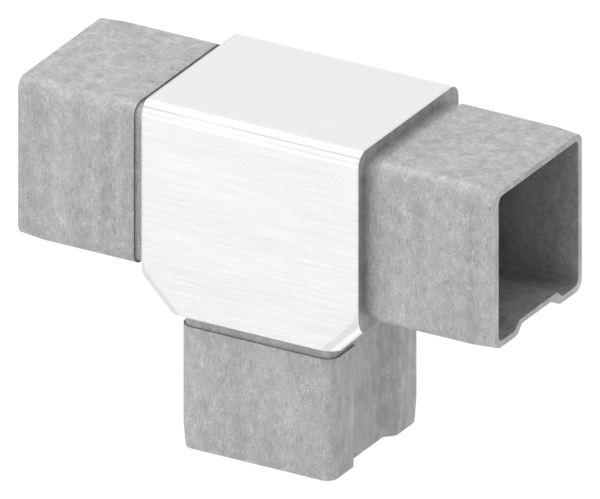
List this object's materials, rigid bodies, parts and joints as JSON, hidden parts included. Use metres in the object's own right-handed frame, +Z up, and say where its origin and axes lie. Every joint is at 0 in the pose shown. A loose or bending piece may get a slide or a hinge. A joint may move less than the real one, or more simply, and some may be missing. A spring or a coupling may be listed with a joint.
{
  "type": "square tube connector",
  "caption": "Cast tee connector for square rail tube: a brushed body that finishes flush with the tube, and hollow spigots that push into the tube ends.",
  "frame": {"origin": "middle of the leg's end face, on the plane that the part stands on; the axes of the spigots cross 55 mm above it", "axes": "+X along the right arm of the run, +Y away from the viewer, +Z up, against the leg"},
  "size_m": [0.11, 0.04, 0.075],
  "materials": {
    "cast_steel": "body brushed along the run; spigots, shoulders and bore left as cast"
  },
  "bodies": {
    "root": {"tee_connector": "cast_steel"}
  },
  "joints": []
}
